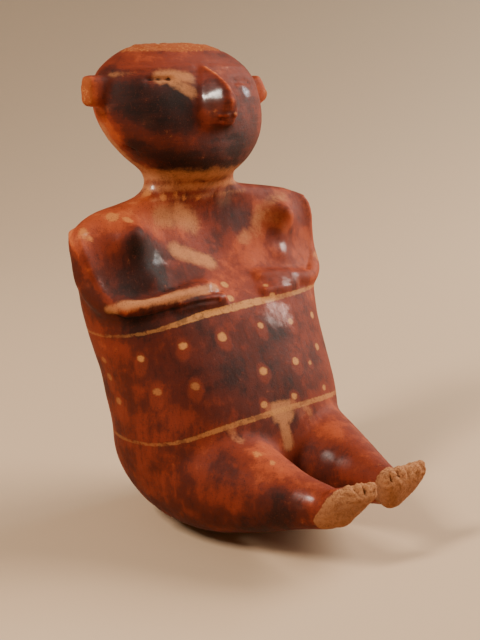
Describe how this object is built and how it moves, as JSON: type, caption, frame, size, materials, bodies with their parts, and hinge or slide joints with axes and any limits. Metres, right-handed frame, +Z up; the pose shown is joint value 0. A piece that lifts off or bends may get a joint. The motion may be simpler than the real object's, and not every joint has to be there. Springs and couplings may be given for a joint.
{
  "type": "seated figurine",
  "caption": "Seated human figurine of burnished red clay, leaning back on a rounded seat with its legs stretched out, arms held to the belly and a slab-eared head.",
  "frame": {"origin": "middle of the small flat spot under the seat that the figurine rests on", "axes": "+Z up, -Y the way the figure faces, +X the figure's own left"},
  "size_m": [0.1844, 0.1976, 0.2792],
  "materials": {
    "burnished_clay": "satin"
  },
  "bodies": {
    "root": {"seated_figurine": "burnished_clay"}
  },
  "joints": []
}
